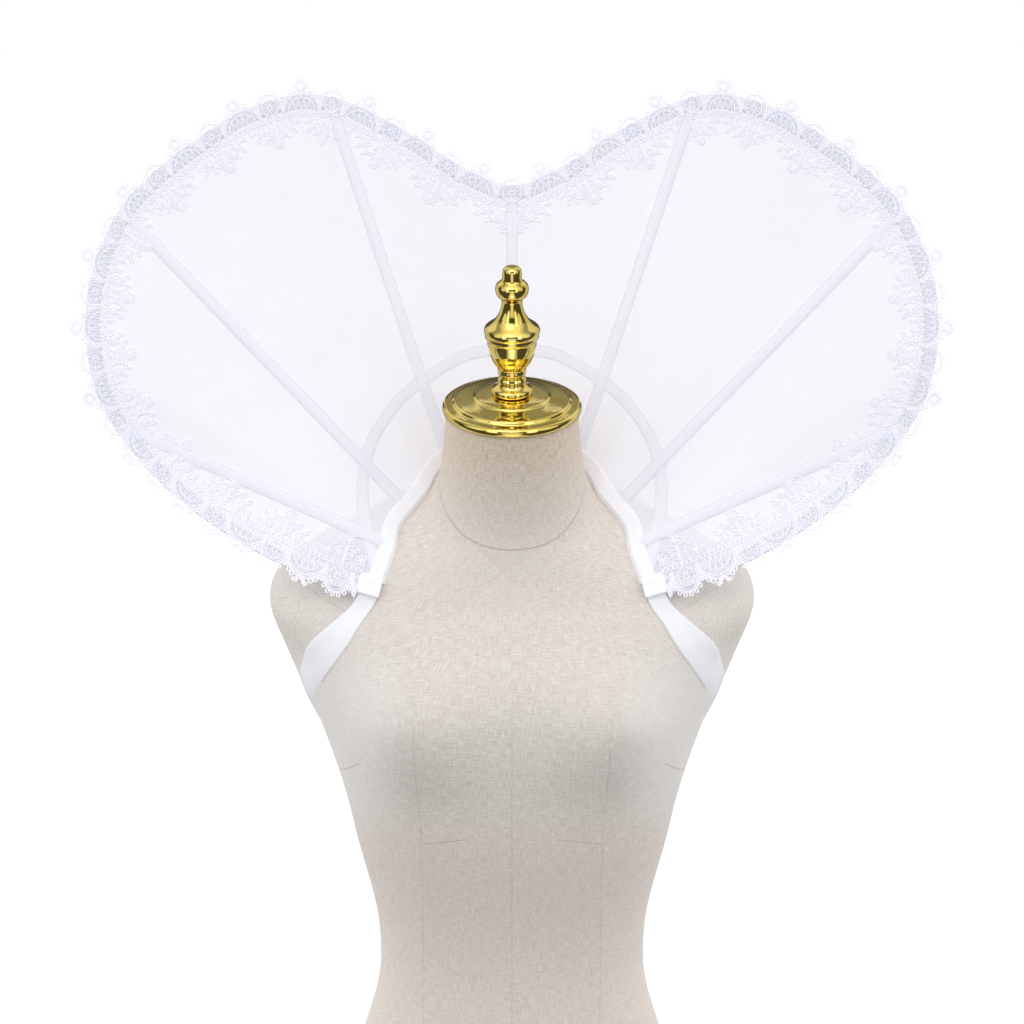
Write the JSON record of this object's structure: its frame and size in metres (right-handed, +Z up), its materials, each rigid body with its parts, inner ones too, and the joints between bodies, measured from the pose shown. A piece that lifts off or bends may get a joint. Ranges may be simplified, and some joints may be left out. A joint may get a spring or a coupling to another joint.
{
  "type": "medici collar on a dress form",
  "caption": "Stand-up heart-shaped Medici collar of sheer white organza with boned ribs, a guipure lace border and satin armhole straps, worn by a linen-covered dress form.",
  "frame": {"origin": "middle of the dress form's flat underside", "axes": "+Z up, the form faces -Y, +X is the wearer's left; the part is symmetric about the plane X = 0"},
  "size_m": [0.7714, 0.2635, 1.0056],
  "materials": {
    "linen": "natural linen, plain weave with slubs, matt",
    "gold": "polished, lacquered",
    "organza": "stiff white organza, almost opaque, faint sheen",
    "tape": "white woven tape, satin weave, soft sheen",
    "lace": "white guipure lace, matt cord",
    "satin": "white satin band, soft sheen"
  },
  "bodies": {
    "root": {"form_torso": "linen", "form_neck_cap": "gold", "form_finial": "gold", "fan_right": "organza", "bone_inner_right": "tape", "bone_outer_right": "tape", "bone_lower_right": "tape", "arc_tape_right": "tape", "neckband_right": "tape", "edge_binding_right": "tape", "lace_top_right": "lace", "lace_side_right": "lace", "lace_lower_right": "lace", "strap_right": "satin", "fan_left": "organza", "bone_inner_left": "tape", "bone_outer_left": "tape", "bone_lower_left": "tape", "arc_tape_left": "tape", "neckband_left": "tape", "edge_binding_left": "tape", "lace_top_left": "lace", "lace_side_left": "lace", "lace_lower_left": "lace", "strap_left": "satin", "bone_centre": "tape"}
  },
  "joints": []
}
